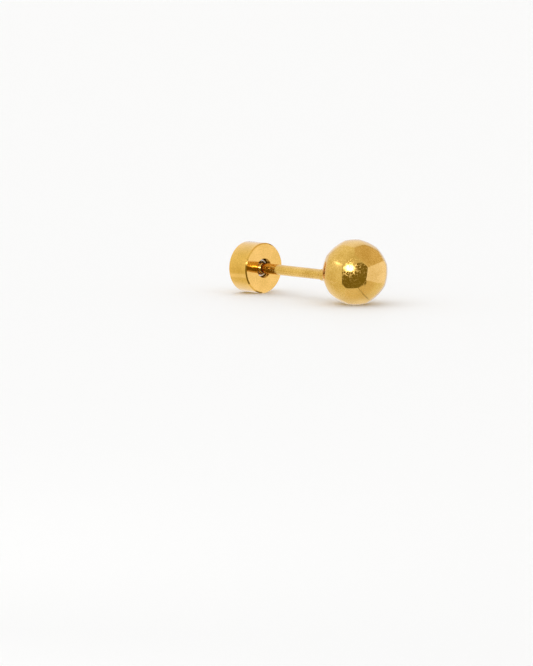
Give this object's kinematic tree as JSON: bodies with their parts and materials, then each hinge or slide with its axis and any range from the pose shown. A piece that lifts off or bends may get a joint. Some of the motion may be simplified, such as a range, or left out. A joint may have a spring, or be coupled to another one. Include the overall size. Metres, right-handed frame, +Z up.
{
  "type": "screw-back stud earring",
  "caption": "Gold-coloured faceted ball on a thin post, with a round back that screws on the threaded tip behind the ear lobe.",
  "frame": {"origin": "on the surface that the earring lies on, under the middle of its bounding box", "axes": "+X along the post from the screw-on back to the ball, +Z up from the surface"},
  "size_m": [0.0144, 0.005, 0.0049],
  "materials": {
    "polished_gold": "polished gold-coloured plating",
    "bare_steel": "bare turned steel"
  },
  "bodies": {
    "stud": {"ball_post": "polished_gold"},
    "bush": {"thread_bush": "bare_steel"},
    "back": {"screw_back": "polished_gold"}
  },
  "joints": [
    {"name": "back_travel", "type": "slide", "parent": "stud", "child": "bush", "axis": [-1, 0, 0], "range_m": [0, 0.0016]},
    {"name": "back_turn", "type": "hinge", "parent": "bush", "child": "back", "pos_m": [-0.006, 0, 0.00196], "axis": [-1, 0, 0], "range_deg": [0, 2881]}
  ],
  "couplings": [
    {"joint": "back_turn", "follows": "back_travel", "rad_per_m": 31416}
  ]
}
